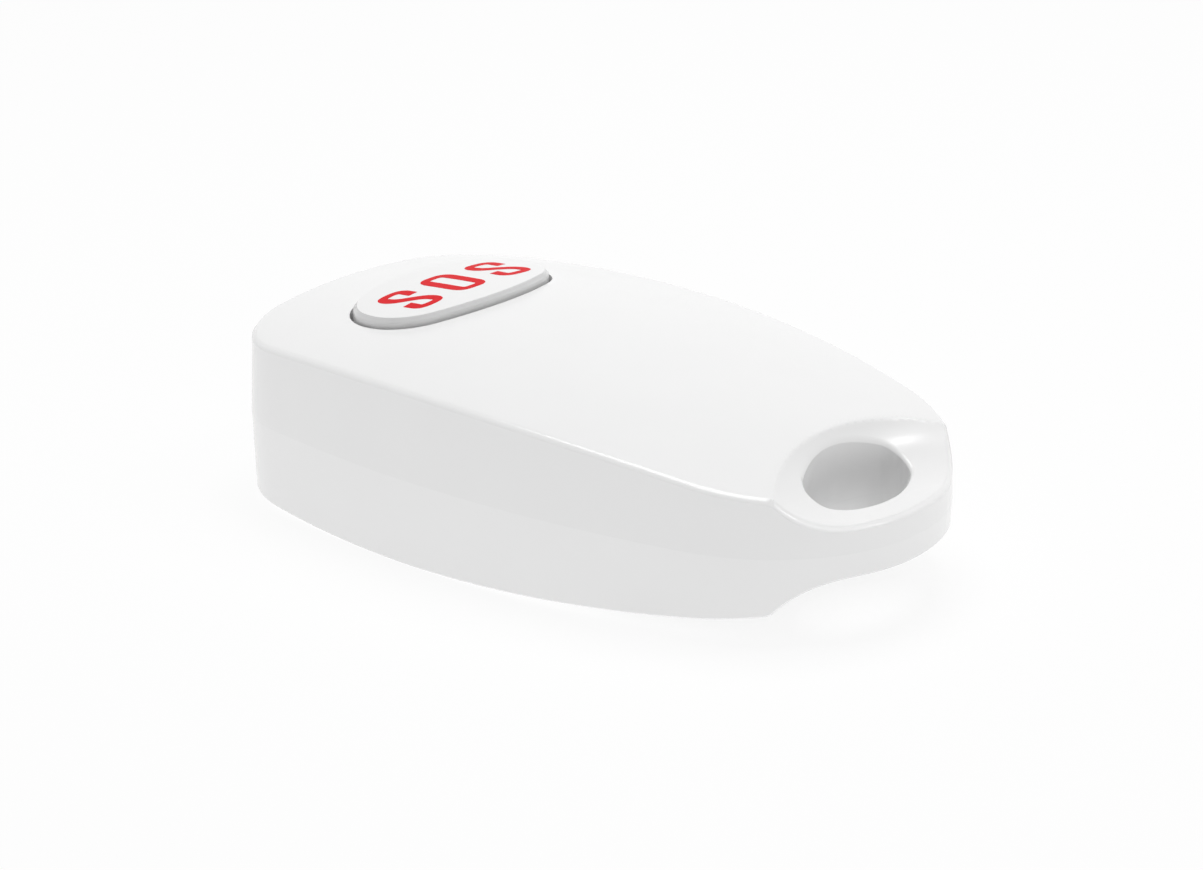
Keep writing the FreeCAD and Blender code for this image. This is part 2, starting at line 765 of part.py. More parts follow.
def lower_core():
    # the space over the belly: screw bosses and the cell's two stops stand up into it
    body = new_body("lower_core")
    block = pad(body, "core_block", cavity_line(new_sketch(body, "core_line")),
                "2 * Sizes.belly_depth", down=True)
    draft_walls(body, "core_draft", block, False)
    arched_cut(body, "floor", "-", "(Sizes.belly_depth - Sizes.floor_wall)",
               "Sizes.belly_ahead", "(Sizes.belly_radius - Sizes.floor_wall)")
    bosses = at_screws(new_sketch(body, "boss_line", offset=BOARD_BOTTOM), "Sizes.lower_boss_radius")
    pocket(body, "boss_gaps", bosses)
    stops = new_sketch(body, "cell_stop_line",
                       offset="Sizes.floor_wall + Sizes.cell_stop_height - Sizes.belly_depth")
    reach = "(Sizes.cell_radius + Sizes.cell_stop_gap + Sizes.cell_stop_wall / 2)"
    for along in ("Sizes.cell_ahead + %s", "Sizes.cell_ahead - %s"):
        rectangle(stops, "0", along % reach, "Sizes.cell_stop_width", "Sizes.cell_stop_wall")
    pocket(body, "cell_stop_gaps", stops)
    doc.recompute()
    return body


def lower_shell():
    body = new_body("lower_shell")
    block = pad(body, "case_block", outline(new_sketch(body, "case_outline")),
                "2 * Sizes.belly_depth", down=True)
    draft_walls(body, "case_draft", block, False)
    arched_cut(body, "belly", "-", "Sizes.belly_depth", "Sizes.belly_ahead", "Sizes.belly_radius")
    rim = dress(body, "Fillet", "scoop_rim", cut_scoop(body, "-"), scoop_rim,
                "Sizes.scoop_rim_round")
    break_strap_edges(body, rim, "Sizes.under_edge_break")
    take_core(body, lower_core())
    tongues = tongue_lines(new_sketch(body, "tongue_line"), "0")
    pad(body, "tongues", tongues, "Sizes.tongue_height")
    shafts = new_sketch(body, "screw_hole_line", offset=BOARD_BOTTOM)
    at_screws(shafts, "Sizes.screw_radius + Sizes.screw_clearance")
    pocket(body, "screw_holes", shafts)
    heads = new_sketch(body, "screw_head_line", offset="-Sizes.screw_seat_depth")
    at_screws(heads, "Sizes.screw_head_radius + Sizes.screw_clearance")
    pocket(body, "screw_head_holes", heads)
    return lifted(body)


# The key: a hollow cap with a tab at each end under the collar, and a stem over the switch


def key_top_edge(edge, kinds):
    return "BSplineSurface" in kinds and "Cylinder" in kinds


def button_cap():
    body = new_body("button_cap")
    pad(body, "key_block", oval(new_sketch(body, "key_line", offset=KEY_FOOT), "key", KEY_AHEAD),
        "2 * Sizes.crown_height - %s" % KEY_FOOT)
    crown = cut_crown(body, "Sizes.key_rise")
    dress(body, "Chamfer", "key_edge", crown, key_top_edge, "Sizes.key_edge_break")
    tabs = new_sketch(body, "tab_line", offset=KEY_FOOT)
    rectangle(tabs, "0", KEY_AHEAD, "Sizes.key_width + 2 * Sizes.key_tab_reach",
              "Sizes.key_tab_length")
    pad(body, "key_tabs", tabs, "Sizes.key_tab_height")
    hollow = new_sketch(body, "hollow_line", offset=KEY_FOOT)
    rectangle(hollow, "0", KEY_AHEAD, "Sizes.key_hollow_width", "Sizes.key_hollow_length")
    pocket(body, "key_hollow", hollow, "%s - %s" % (KEY_HOLLOW, KEY_FOOT), up=True)
    foot = "(%s + Sizes.key_rest_gap)" % PLUNGER_TOP
    stem = circle(new_sketch(body, "stem_line", offset=foot),
                  "0", KEY_AHEAD, "Sizes.key_stem_radius")
    pad(body, "key_stem", stem, "%s - %s + Sizes.key_top_wall / 4" % (KEY_HOLLOW, foot))
    return lifted(body)


# The circuit board, notched for the screw bosses


def circuit_board():
    body = new_body("circuit_board")
    half = [
        ("Sizes.case_width / 2 - Sizes.board_nose_side_gap", FRONT_END + " + Sizes.board_nose_from_end"),
        (BOARD_SIDE, FRONT_END + " + Sizes.board_shoulder_from_end"),
        (BOARD_SIDE, REAR_END + " - Sizes.board_hip_from_rear"),
        ("Sizes.case_width / 2 - Sizes.board_tail_side_gap", REAR_END + " - Sizes.board_tail_from_rear"),
    ]
    line = profile(new_sketch(body, "board_line", offset=BOARD_BOTTOM), both_sides(half))
    pad(body, "board", line, "Sizes.board_thickness")
    notches = new_sketch(body, "notch_line")
    at_screws(notches, "Sizes.screw_radius + Sizes.notch_clearance")
    pocket(body, "notches", notches)
    return lifted(body)


# The tactile switch: a base with a round well, a dome in it, a plunger and a folded cover


def switch_section(body, name):
    return new_sketch(body, name, "XZ_Plane", "-" + KEY_AHEAD)


def switch_base():
    body = new_body("switch_base")
    line = new_sketch(body, "base_line", offset=SWITCH_FOOT)
    rectangle(line, "0", KEY_AHEAD, "Sizes.switch_width", "Sizes.switch_width")
    pad(body, "base_block", line, "Sizes.switch_base_height")
    well = new_sketch(body, "well_line", offset="%s + Sizes.switch_well_floor" % SWITCH_FOOT)
    circle(well, "0", KEY_AHEAD, "Sizes.switch_well_radius")
    pocket(body, "well", well, up=True)
    return lifted(body)


def switch_cover():
    body = new_body("switch_cover")
    inner = "(Sizes.switch_width / 2 + Sizes.solder_gap)"
    outer = "(%s + Sizes.switch_cover_thickness)" % inner
    top = "(%s + Sizes.switch_cover_thickness)" % COVER_FOOT
    fold = "(%s - Sizes.switch_cover_fold)" % COVER_FOOT
    half = [(outer, top), (outer, fold), (inner, fold), (inner, COVER_FOOT)]
    other = [("-" + across, level) for across, level in reversed(half)]
    section = profile(switch_section(body, "cover_section"), half + other)
    pad(body, "cover", section, "Sizes.switch_width", middle=True)
    hole = circle(new_sketch(body, "cover_hole_line", offset=COVER_FOOT), "0", KEY_AHEAD,
                  "Sizes.plunger_radius + Sizes.plunger_side_gap")
    pocket(body, "cover_hole", hole, up=True)
    return lifted(body)


def switch_dome():
    # a dished disc with a flat crown
    body = new_body("switch_dome")
    floor = "(%s + Sizes.switch_well_floor + Sizes.solder_gap)" % SWITCH_FOOT
    top = "(%s + Sizes.dome_height)" % floor
    under = "(%s - Sizes.dome_thickness)" % top
    corners = [
        ("0", under),
        ("Sizes.dome_crown_radius", under),
        ("Sizes.dome_radius - Sizes.dome_thickness", floor),
        ("Sizes.dome_radius", floor),
        ("Sizes.dome_crown_radius", top),
        ("0", top),
    ]
    section = profile(switch_section(body, "dome_section"), corners)
    axis = axis_line(section, ("0", floor), ("0", "2 * (%s)" % top))
    turned(body, "Revolution", "dome", section, axis)
    return lifted(body)


def switch_plunger():
    body = new_body("switch_plunger")
    dome_top = "(%s + Sizes.switch_well_floor + Sizes.solder_gap + Sizes.dome_height)" % SWITCH_FOOT
    foot = "(%s + Sizes.solder_gap)" % dome_top
    flange_top = "(%s - Sizes.solder_gap - Sizes.plunger_gap)" % COVER_FOOT
    corners = [
        ("0", foot),
        ("Sizes.plunger_flange_radius", foot),
        ("Sizes.plunger_flange_radius", flange_top),
        ("Sizes.plunger_radius", flange_top),
        ("Sizes.plunger_radius", PLUNGER_TOP),
        ("0", PLUNGER_TOP),
    ]
    section = profile(switch_section(body, "plunger_section"), corners)
    axis = axis_line(section, ("0", foot), ("0", "2 * %s" % PLUNGER_TOP))
    turned(body, "Revolution", "plunger", section, axis)
    return lifted(body)


# Plain blocks, joined where they are one piece and grouped where they are like pieces


def block(name, across, along, foot, width, length, height):
    # across and along are the middle of the block
    made = doc.addObject("Part::Box", name)
    made.setExpression("Length", width)
    made.setExpression("Width", length)
    made.setExpression("Height", height)
    made.setExpression("Placement.Base.x", "%s - (%s) / 2" % (across, width))
    made.setExpression("Placement.Base.y", "%s - (%s) / 2" % (along, length))
    made.setExpression("Placement.Base.z", foot)
    return made


def joined(name, pieces):
    made = doc.addObject("Part::MultiFuse", name)
    made.Shapes = pieces
    return made


def grouped(label, pieces):
    made = doc.addObject("Part::Compound", label)
    made.Label = label
    made.Links = pieces
    return lifted(made)


def gull_leg(name, start, way, along, width, thickness, height, reach):
    # a foot on the board and a riser beside the part that it carries, which starts at start
    gap = "Sizes.solder_gap"
    riser = block(name + "_riser", "%s %s (%s + %s / 2)" % (start, way, gap, thickness), along,
                  ON_BOARD, thickness, width, height)
    foot = block(name + "_foot", "%s %s (%s + %s / 2)" % (start, way, gap, reach), along,
                 ON_BOARD, reach, width, thickness)
    return joined(name, [riser, foot])


def switch_terminals():
    legs = []
    for way, start in (("+", "Sizes.switch_width / 2"), ("-", "-Sizes.switch_width / 2")):
        for row in ("+", "-"):
            along = "%s %s Sizes.leg_spacing / 2" % (KEY_AHEAD, row)
            legs.append(gull_leg("switch_leg", start, way, along, "Sizes.leg_width",
                                 "Sizes.leg_thickness", "Sizes.leg_height", "Sizes.leg_reach"))
    return grouped("switch_terminals", legs)


# The coin cell under the board, its clip and its contact leaf


def coin_cell():
    body = new_body("coin_cell")
    can = circle(new_sketch(body, "can_line", offset=CELL_FOOT),
                 "0", "Sizes.cell_ahead", "Sizes.cell_radius")
    pad(body, "can", can, "Sizes.cell_height - Sizes.cell_step_height")
    lid = circle(new_sketch(body, "lid_line", offset=CELL_FOOT),
                 "0", "Sizes.cell_ahead", "Sizes.cell_radius - Sizes.cell_step")
    pad(body, "lid", lid, "Sizes.cell_height")
    return lifted(body)


def battery_clip():
    body = new_body("battery_clip")
    inner = "(Sizes.cell_radius + Sizes.clip_gap)"
    outer = "(%s + Sizes.clip_thickness)" % inner
    foot = "(%s + Sizes.clip_foot)" % outer
    low = "(%s - Sizes.solder_gap - Sizes.clip_thickness)" % CELL_FOOT
    floor = "(%s + Sizes.clip_thickness)" % low
    under_foot = "(%s - Sizes.clip_thickness)" % UNDER_BOARD
    half = [
        (outer, low), (outer, under_foot), (foot, under_foot), (foot, UNDER_BOARD),
        (inner, UNDER_BOARD), (inner, floor),
    ]
    section = new_sketch(body, "clip_section", "XZ_Plane", "-Sizes.cell_ahead")
    pad(body, "clip", profile(section, both_sides(half)), "Sizes.clip_width", middle=True)
    return lifted(body)


def battery_contact():
    body = new_body("battery_contact")
    end = "Sizes.leaf_length / 2"
    bend = "(%s - Sizes.leaf_foot)" % end
    rest = "(Sizes.leaf_foot / 2)"
    low = "(%s + Sizes.solder_gap)" % CELL_TOP
    under = "(%s - Sizes.leaf_thickness)" % UNDER_BOARD
    half = [
        (rest, low), (bend, under), (end, under), (end, UNDER_BOARD),
        (bend, UNDER_BOARD), (rest, "%s + Sizes.leaf_thickness" % low),
    ]
    section = new_sketch(body, "leaf_section", "XZ_Plane", "-Sizes.cell_ahead")
    pad(body, "leaf", profile(section, both_sides(half)), "Sizes.leaf_width", middle=True)
    return lifted(body)


# What else stands on the board


def radio_chip():
    side = "Sizes.radio_from_edge - " + BOARD_SIDE
    chip = block("radio_chip", side, "Sizes.radio_ahead", ON_BOARD + " + " + LIFT,
                 "Sizes.radio_width", "Sizes.radio_width", "Sizes.radio_height")
    chip.Label = "radio_chip"
    return chip


def control_chip():
    side, ahead = "(%s - Sizes.control_from_edge)" % BOARD_SIDE, "Sizes.control_ahead"
    pieces = [block("control_body", side, ahead, ON_BOARD + " + Sizes.control_stand",
                    "Sizes.control_width", "Sizes.control_length",
                    "Sizes.control_height - Sizes.control_stand")]
    for way, start in (("+", "%s + Sizes.control_width / 2"), ("-", "%s - Sizes.control_width / 2")):
        for row in range(-3, 4, 2):
            along = "%s + %d * Sizes.control_leg_pitch / 2" % (ahead, row)
            pieces.append(gull_leg("control_leg", start % side, way, along,
                                   "Sizes.control_leg_width", "Sizes.control_leg_thickness",
                                   "Sizes.control_leg_height", "Sizes.control_leg_reach"))
    return grouped("control_chip", pieces)


def crystal():
    side, ahead = "Sizes.crystal_side", "Sizes.crystal_ahead"
    base = block("crystal_base", side, ahead, ON_BOARD, "Sizes.crystal_width",
                 "Sizes.crystal_length", "Sizes.crystal_base_height")
    lid = block("crystal_lid", side, ahead, ON_BOARD, "Sizes.crystal_width - 2 * Sizes.crystal_rim",
                "Sizes.crystal_length - 2 * Sizes.crystal_rim", "Sizes.crystal_height")
    return grouped("crystal", [joined("crystal_can", [base, lid])])


def loop_antenna():
    # a strip on edge round three sides, carried over the board by a leg at each end
    thick = "Sizes.antenna_thickness"
    foot = "%s + Sizes.antenna_stand" % ON_BOARD
    out = "(%s - Sizes.antenna_from_edge)" % BOARD_SIDE
    near = "(%s + Sizes.antenna_from_end)" % FRONT_END
    far = "(%s + Sizes.antenna_length)" % near
    run = "(Sizes.antenna_length + %s)" % thick
    middle = "(%s + Sizes.antenna_length / 2)" % near
    pieces = [block("antenna_bar", "0", near, foot, "2 * %s + %s" % (out, thick), thick,
                    "Sizes.antenna_strip")]
    for way in ("", "-"):
        side = way + out
        pieces.append(block("antenna_arm", side, middle, foot, thick, run, "Sizes.antenna_strip"))
        leg = "%s + (%s - Sizes.antenna_leg) / 2" % (far, thick)
        pieces.append(block("antenna_leg", side, leg, ON_BOARD, thick, "Sizes.antenna_leg",
                            "Sizes.antenna_stand + Sizes.antenna_strip"))
    return grouped("loop_antenna", [joined("antenna_loop", pieces)])


def status_lamp():
    side, ahead = "Sizes.lamp_side", KEY_AHEAD
    base = block("lamp_base", side, ahead, ON_BOARD, "Sizes.lamp_width", "Sizes.lamp_length",
                 "Sizes.lamp_base_height")
    lens = block("lamp_lens", side, ahead, ON_BOARD, "Sizes.lamp_width",
                 "Sizes.lamp_length - 2 * Sizes.lamp_lens_step",
                 "Sizes.lamp_base_height + Sizes.lamp_lens_height")
    return grouped("status_lamp", [joined("lamp", [base, lens])])


CHIP_SIDE = "(%s - Sizes.chip_from_edge)" % BOARD_SIDE


def chip_rows(label, sides, backs, height):
    # like chips, one at each of the places
    chips = [
        block(label + "_one", side, back, ON_BOARD, "Sizes.chip_width", "Sizes.chip_length", height)
        for side in sides for back in backs
    ]
    return grouped(label, chips)


def chip_capacitors():
    backs = ["%d * Sizes.chip_pitch - Sizes.chip_back" % row for row in range(4)]
    return chip_rows("chip_capacitors", ["-" + CHIP_SIDE], backs, "Sizes.capacitor_height")


def chip_resistors():
    backs = ["%d * Sizes.chip_pitch - Sizes.chip_back" % row for row in range(4)]
    return chip_rows("chip_resistors", [CHIP_SIDE], backs, "Sizes.resistor_height")


def chip_coils():
    return chip_rows("chip_coils", ["Sizes.coil_side", "-Sizes.coil_side"], ["-Sizes.coil_back"],
                     "Sizes.coil_height")


# The two screws, driven from below


def rod(name, along, foot, radius, height):
    made = doc.addObject("Part::Cylinder", name)
    made.setExpression("Radius", radius)
    made.setExpression("Height", height)
    made.setExpression("Placement.Base.y", along)
    made.setExpression("Placement.Base.z", foot)
    return made


def case_screws():
    seat = "(-Sizes.screw_seat_depth - Sizes.solder_gap)"
    head_foot = "(%s - Sizes.screw_head_height)" % seat
    screws = []
    for across, along in SCREW_PLACES:
        head = rod("screw_head", along, head_foot, "Sizes.screw_head_radius",
                   "Sizes.screw_head_height")
        shaft = rod("screw_shaft", along, seat, "Sizes.screw_radius",
                    "Sizes.screw_reach - %s" % seat)
        slots = [
            block("screw_slot", across, along, head_foot, width, length, "Sizes.drive_depth")
            for width, length in (
                ("2 * Sizes.drive_radius", "Sizes.drive_slot"),
                ("Sizes.drive_slot", "2 * Sizes.drive_radius"),
            )
        ]
        screw = doc.addObject("Part::Cut", "case_screw")
        screw.Base = joined("screw_blank", [head, shaft])
        screw.Tool = joined("screw_drive", slots)
        screws.append(screw)
    return grouped("case_screws", screws)


PIECES = (
    upper_shell, lower_shell, button_cap, circuit_board,
    switch_base, switch_cover, switch_dome, switch_plunger, switch_terminals,
    coin_cell, battery_clip, battery_contact,
    radio_chip, control_chip, crystal, loop_antenna, status_lamp,
    chip_capacitors, chip_resistors, chip_coils, case_screws,
)


def write_pieces():
    made = [piece() for piece in PIECES]
    doc.recompute()
    failed = [item.Label for item in doc.Objects if {"Invalid", "Error"} & set(item.State)]
    if failed:
        raise RuntimeError("these did not build: " + ", ".join(failed))
    for piece in made:
        if piece.Shape.isNull() or not piece.Shape.isValid():
            raise RuntimeError(piece.Label + " has no valid shape")
    os.makedirs("parts", exist_ok=True)
    for piece in made:
        piece.Shape.exportStep("parts/%s.step" % piece.Label)


write_pieces()
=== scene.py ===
import bmesh
import bpy
import math
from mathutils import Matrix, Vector


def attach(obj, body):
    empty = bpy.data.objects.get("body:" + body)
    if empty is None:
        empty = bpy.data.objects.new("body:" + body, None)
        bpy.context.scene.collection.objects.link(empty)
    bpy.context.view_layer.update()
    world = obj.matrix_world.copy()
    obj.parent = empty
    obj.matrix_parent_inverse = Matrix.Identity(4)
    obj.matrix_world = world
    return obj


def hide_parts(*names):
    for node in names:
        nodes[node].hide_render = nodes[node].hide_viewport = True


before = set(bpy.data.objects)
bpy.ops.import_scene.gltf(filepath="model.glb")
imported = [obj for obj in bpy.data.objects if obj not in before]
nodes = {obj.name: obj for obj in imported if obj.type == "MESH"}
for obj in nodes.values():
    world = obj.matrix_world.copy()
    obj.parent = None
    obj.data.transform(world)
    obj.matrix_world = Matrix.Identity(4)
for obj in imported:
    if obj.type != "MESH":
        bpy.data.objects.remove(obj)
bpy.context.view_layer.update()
mm = 0.001
partingHeight = 7.28 * mm


# Shader maths: a socket in a wrapper, so that 1 - mask * 2 adds its own nodes

class Wire:
    def __init__(self, tree, socket=None):
        self.tree = tree
        self.socket = socket

    def node(self, kind, settings=None, sockets=None, out=0):
        made = self.tree.nodes.new(kind)
        for name, value in (settings or {}).items():
            setattr(made, name, value)
        for name, value in (sockets or {}).items():
            if isinstance(value, Wire):
                self.tree.links.new(value.socket, made.inputs[name])
            else:
                made.inputs[name].default_value = value
        return Wire(self.tree, made.outputs[out])

    def math(self, operation, first, second=None):
        sockets = {0: first} if second is None else {0: first, 1: second}
        return self.node("ShaderNodeMath", {"operation": operation}, sockets)

    def __add__(self, other):
        return self.math("ADD", self, other)

    def __radd__(self, other):
        return self.math("ADD", other, self)

    def __sub__(self, other):
        return self.math("SUBTRACT", self, other)

    def __rsub__(self, other):
        return self.math("SUBTRACT", other, self)

    def __mul__(self, other):
        return self.math("MULTIPLY", self, other)

    def __rmul__(self, other):
        return self.math("MULTIPLY", other, self)

    def __truediv__(self, other):
        return self.math("DIVIDE", self, other)

    def __abs__(self):
        return self.math("ABSOLUTE", self)

    def clipped(self):
        return self.node("ShaderNodeClamp", None, {"Value": self})


def linear(red, green, blue):
    # picture colours from 0 to 255, by the usual curve for screens, to the shader's own scale
    return tuple((v / 255 / 12.92) if v < 11 else ((v / 255 + 0.055) / 1.055) ** 2.4
                 for v in (red, green, blue)) + (1.0,)


def newMaterial(name, constants):
    made = bpy.data.materials.new(name)
    made.use_nodes = True
    shader = made.node_tree.nodes["Principled BSDF"]
    for socket, value in constants.items():
        shader.inputs[socket].default_value = value
    return made, shader, Wire(made.node_tree)


def feed(wire, shader, socket):
    wire.tree.links.new(wire.socket, shader.inputs[socket])


def mottled(wire, scale, detail=3.0, stretch=(1, 1, 1)):
    # noise in the piece's own place, with scale in patches per millimetre
    place = wire.node("ShaderNodeTexCoord", out="Object")
    mapped = wire.node("ShaderNodeMapping", None, {"Vector": place, "Scale": Vector(stretch)})
    return wire.node("ShaderNodeTexNoise", None,
                     {"Vector": mapped, "Scale": scale / mm, "Detail": detail})


def tinted(wire, mask, dark, light, blend="MIX"):
    # a Mix node has its colours in sockets 6 and 7, and gives the mixed colour from 2
    return wire.node("ShaderNodeMix", {"data_type": "RGBA", "blend_type": blend},
                     {0: mask, 6: dark, 7: light}, out=2)


def spreadAbout(mask, middle, spread):
    # follows the mask, half of the spread to each side of the middle
    return mask * spread + (middle - spread / 2)


def bumped(wire, height, strength):
    return wire.node("ShaderNodeBump", None,
                     {"Height": height, "Strength": strength, "Distance": 1.0})


# Moulded plastic of the case and key: near white, satin, with the faint parting line

mouldedPlastic = {
    "caseShades": ((237, 237, 237), (240, 240, 240)),
    "keyShades": ((235, 235, 235), (238, 238, 238)),
    "gloss": 0.5,
    "index": 1.49,
    "roughness": 0.18,
    "spread": 0.06,
    "patch": 0.12,         # patches of shade per mm
    "grain": 9.0,          # grains per mm
    "grainDetail": 2.0,
    "grainDepth": 0.012,   # mm
    "grainStrength": 0.3,
    "lineHalf": 0.09,      # half of the parting line's width, mm
    "lineShade": (0.2, 0.2, 0.21, 1.0),
    "lineDarkness": 0.02,
}


def makeMouldedPlastic(name, shades, withLine, look):
    made, shader, wire = newMaterial(name, {"Specular IOR Level": look["gloss"],
                                            "IOR": look["index"]})
    patches = mottled(wire, look["patch"])
    colour = tinted(wire, patches, *[linear(*shade) for shade in look[shades]])
    height = mottled(wire, look["grain"], look["grainDetail"]) * (look["grainDepth"] * mm)
    if withLine:
        place = wire.node("ShaderNodeTexCoord", out="Object")
        upright = wire.node("ShaderNodeSeparateXYZ", None, {"Vector": place}, out="Z")
        line = (1 - abs(upright - partingHeight) / (look["lineHalf"] * mm)).clipped()
        colour = tinted(wire, line * look["lineDarkness"], colour, look["lineShade"], "MULTIPLY")
    feed(colour, shader, "Base Color")
    feed(spreadAbout(patches, look["roughness"], look["spread"]), shader, "Roughness")
    feed(bumped(wire, height, look["grainStrength"]), shader, "Normal")
    return made


caseWhite = makeMouldedPlastic("caseWhite", "caseShades", True, mouldedPlastic)
keyWhite = makeMouldedPlastic("keyWhite", "keyShades", False, mouldedPlastic)


# Finishes of the pieces inside

# dark and pale shade, roughness, and patches per mm
innerPlastic = {
    "boardGreen": ((10, 74, 42), (16, 92, 52), 0.35, 1.4),
    "switchBlack": ((22, 22, 23), (34, 34, 35), 0.55, 3.0),
    "plungerBlack": ((26, 26, 27), (38, 38, 40), 0.45, 3.0),
    "chipBlack": ((28, 28, 30), (40, 40, 42), 0.6, 4.0),
    "capacitorTan": ((150, 118, 82), (172, 138, 100), 0.5, 4.0),
    "lampClear": ((214, 210, 176), (232, 228, 200), 0.25, 3.0),
}
# dark and pale shade, roughness, and how the brushing is stretched
innerMetal = {
    "tinnedSteel": ((176, 177, 178), (205, 206, 206), 0.32, (1, 12, 1)),
    "springSteel": ((160, 160, 160), (192, 192, 190), 0.28, (12, 1, 1)),
    "cellSteel": ((172, 172, 170), (200, 200, 198), 0.3, (1, 9, 1)),
    "copper": ((176, 112, 74), (204, 140, 98), 0.34, (8, 1, 1)),
    "screwSteel": ((120, 121, 124), (160, 161, 164), 0.36, (6, 6, 1)),
}
innerLook = {
    "gloss": 0.5,
    "plasticSpread": 0.12,
    "pitDepth": 0.01,   # mm
    "pitStrength": 0.4,
    "brush": 1.2,       # strokes per mm
    "brushDetail": 4.0,
    "metalSpread": 0.14,
}


def makeInnerPlastic(name, dark, light, roughness, scale):
    made, shader, wire = newMaterial(name, {"Specular IOR Level": innerLook["gloss"]})
    patches = mottled(wire, scale)
    pits = bumped(wire, patches * (innerLook["pitDepth"] * mm), innerLook["pitStrength"])
    feed(tinted(wire, patches, linear(*dark), linear(*light)), shader, "Base Color")
    feed(spreadAbout(patches, roughness, innerLook["plasticSpread"]), shader, "Roughness")
    feed(pits, shader, "Normal")
    return made


def makeInnerMetal(name, dark, light, roughness, stretch):
    made, shader, wire = newMaterial(name, {"Metallic": 1.0})
    brushed = mottled(wire, innerLook["brush"], innerLook["brushDetail"], stretch)
    feed(tinted(wire, brushed, linear(*dark), linear(*light)), shader, "Base Color")
    feed(spreadAbout(brushed, roughness, innerLook["metalSpread"]), shader, "Roughness")
    return made


finishes = {"case": caseWhite, "key": keyWhite}
for name, (dark, light, roughness, scale) in innerPlastic.items():
    finishes[name] = makeInnerPlastic(name, dark, light, roughness, scale)
for name, (dark, light, roughness, stretch) in innerMetal.items():
    finishes[name] = makeInnerMetal(name, dark, light, roughness, stretch)

nodeFinish = {
    "upper_shell": "case", "lower_shell": "case", "button_cap": "key",
    "circuit_board": "boardGreen",
    "switch_base": "switchBlack", "switch_plunger": "plungerBlack",
    "switch_cover": "tinnedSteel", "switch_terminals": "tinnedSteel",
    "switch_dome": "springSteel", "battery_clip": "springSteel", "battery_contact": "springSteel",
    "coin_cell": "cellSteel", "crystal": "tinnedSteel",
    "radio_chip": "chipBlack", "control_chip": "chipBlack", "chip_resistors": "chipBlack",
    "chip_capacitors": "capacitorTan", "chip_coils": "capacitorTan",
    "loop_antenna": "copper", "status_lamp": "lampClear", "case_screws": "screwSteel",
}
for node, finish in nodeFinish.items():
    nodes[node].data.materials.clear()
    nodes[node].data.materials.append(finishes[finish])
print("materials on", len(nodeFinish), "nodes")


# The outside of the case and the key

# the solids' own faces, each shaded by its true surface, with the narrow breaks at the edges
# shaded round. side is 1 where they look up and -1 where down, lift is how far the key's crown
# stands above the case's in mm, and rimTurn how far a wall's break is turned up
skins = {
    "caseTop": {"node": "upper_shell", "body": "case", "slot": "case", "side": 1, "lift": 0.0,
                "rimTurn": 0.5},
    "caseBottom": {"node": "lower_shell", "body": "case", "slot": "case", "side": -1, "lift": 0.0,
                   "rimTurn": 0.0},
    "keyCap": {"node": "button_cap", "body": "button", "slot": "key", "side": 1, "lift": 0.75,
               "rimTurn": 0.3},
}

# the case in mm, seen from above and from its side, with heights from the parting line
caseForm = {
    "length": 60.0, "width": 34.0, "draft": 2.0,
    "tip": 14.3, "sideBow": 105.0, "rear": 110.0, "corner": 8.5,
    "crownTop": 9.24, "crownAhead": 7.5, "crownLong": 138.0, "crownAcross": 72.0,
    "bellyDrop": 7.28, "bellyAhead": 9.0, "bellyRound": 222.0,
    "lug": 2.04, "scoopAxis": -45.6, "scoopFoot": 17.7, "scoopRound": 7.8,
}
# ovals of two ends and two flatter sides: middle along the fob, size and radius of the ends, mm
ovals = {
    "hole": {"ahead": -24.37, "width": 11.2, "depth": 5.46, "end": 1.71},
    "opening": {"ahead": 17.2, "width": 19.1, "depth": 11.1, "end": 4.6, "grow": 0.3},
    "key": {"ahead": 17.2, "width": 19.1, "depth": 11.1, "end": 4.6},
}
closeness = {
    "merge": 0.002,    # corners of the mesh that are one, mm
    "surface": 0.03,   # a face and its wall, mm
    "crown": 0.16,     # a face and the crown or the belly, mm
    "facing": 0.93,    # cosine between a face and its surface
    "round": 0.5,      # cosine over which a break is shaded round
    "keyRim": 1.3,     # the height of the key's rim, mm
}


def deselectAll():
    bpy.ops.object.select_all(action="DESELECT")


def makeActive(piece):
    deselectAll()
    piece.select_set(True)
    bpy.context.view_layer.objects.active = piece


def crossing(centreA, radiusA, centreB, radiusB):
    # where two circles meet, on the right
    across, along = centreB[0] - centreA[0], centreB[1] - centreA[1]
    span = math.hypot(across, along)
    reach = (radiusA ** 2 - radiusB ** 2 + span ** 2) / (2 * span)
    height = math.sqrt(radiusA ** 2 - reach ** 2)
    foot = (centreA[0] + reach * across / span, centreA[1] + reach * along / span)
    return max((foot[0] + way * height * along / span, foot[1] - way * height * across / span)
               for way in (1, -1))


def caseArcs(form):
    # centre and radius of each arc of the outline
    half, side = form["length"] / 2, form["sideBow"]
    tip = (0, form["tip"] - half)
    inward = side - form["width"] / 2
    sideAhead = tip[1] + math.sqrt((side - form["tip"]) ** 2 - inward ** 2)
    rear = (0, half - form["rear"])
    corner = crossing((-inward, sideAhead), side - form["corner"],
                      rear, form["rear"] - form["corner"])
    return [(tip, form["tip"]), (rear, form["rear"]),
            ((-inward, sideAhead), side), ((inward, sideAhead), side),
            (corner, form["corner"]), ((-corner[0], corner[1]), form["corner"])]


def ovalArcs(look):
    reach, depth, end = look["width"] / 2 - look["end"], look["depth"], look["end"]
    side = (reach ** 2 + depth ** 2 / 4 - end ** 2) / (depth - 2 * end)
    sink, middle, grow = side - depth / 2, look["ahead"], look.get("grow", 0.0)
    return [((reach, middle), end + grow), ((-reach, middle), end + grow),
            ((0, middle - sink), side + grow), ((0, middle + sink), side + grow)]


